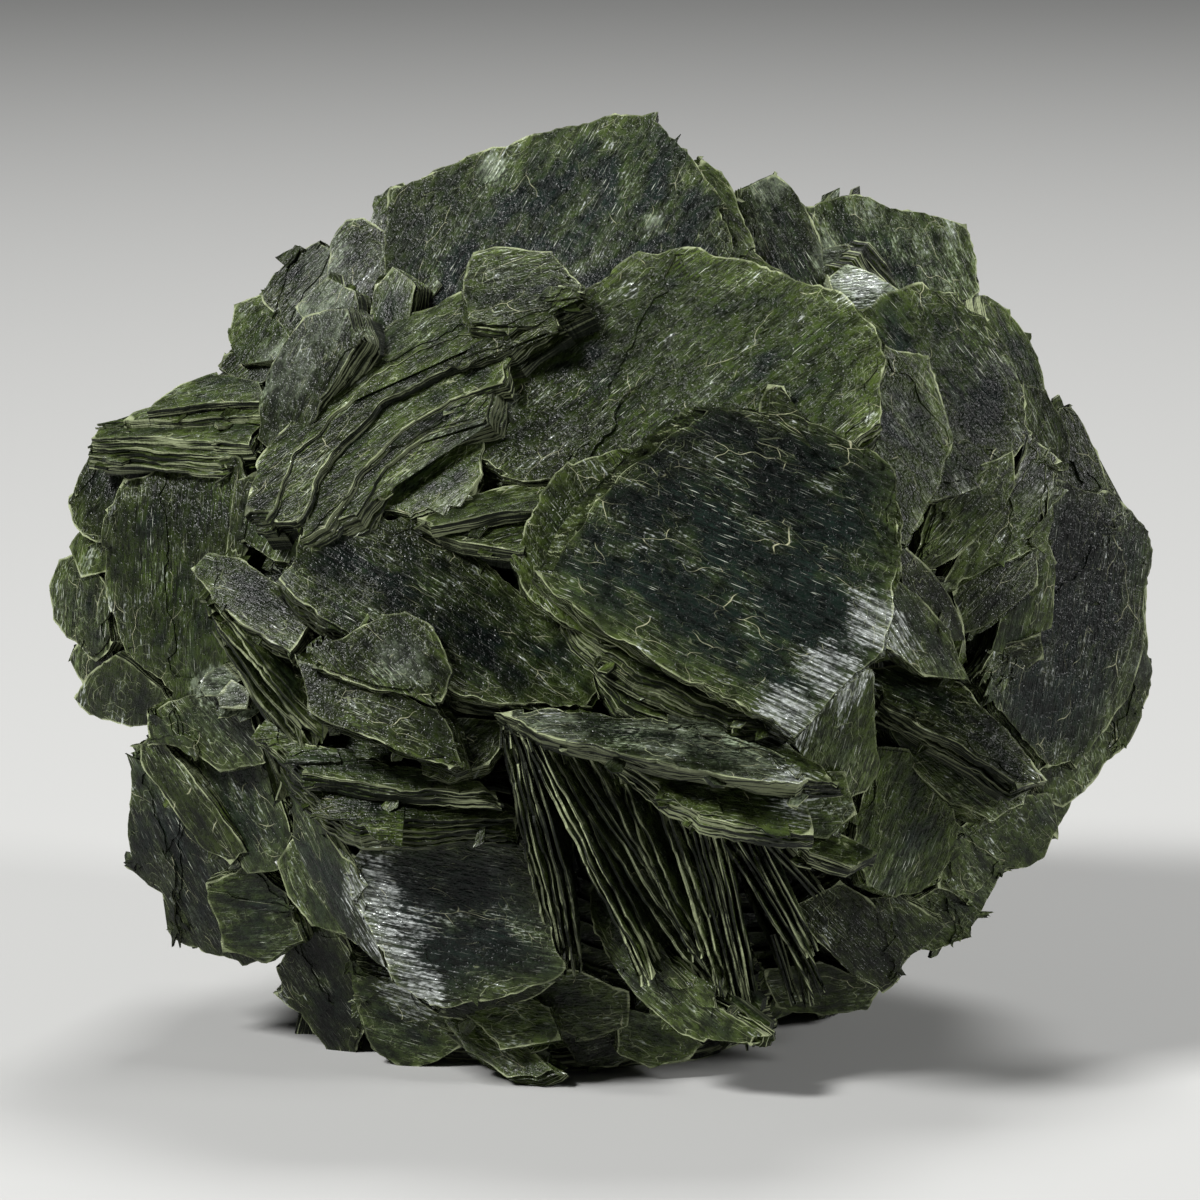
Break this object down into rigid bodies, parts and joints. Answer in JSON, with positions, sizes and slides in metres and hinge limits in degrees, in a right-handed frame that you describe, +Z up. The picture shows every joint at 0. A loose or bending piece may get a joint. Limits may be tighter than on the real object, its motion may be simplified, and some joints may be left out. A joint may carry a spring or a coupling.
{
  "type": "chlorite specimen",
  "caption": "Rounded rosette of intergrown dark green chlorite plates that rests on its flat broken foot.",
  "frame": {"origin": "middle of the bounding box's underside, on the surface that the rosette stands on", "axes": "+Z up, +X to the right of the front view, -Y towards the viewer of the front view"},
  "size_m": [0.1091, 0.0898, 0.0911],
  "materials": {
    "chlorite": "dark grey-green mineral plates with a waxy to pearly shine, yellow-green rims and pale flakes"
  },
  "bodies": {
    "root": {"chlorite_rosette": "chlorite"}
  },
  "joints": []
}
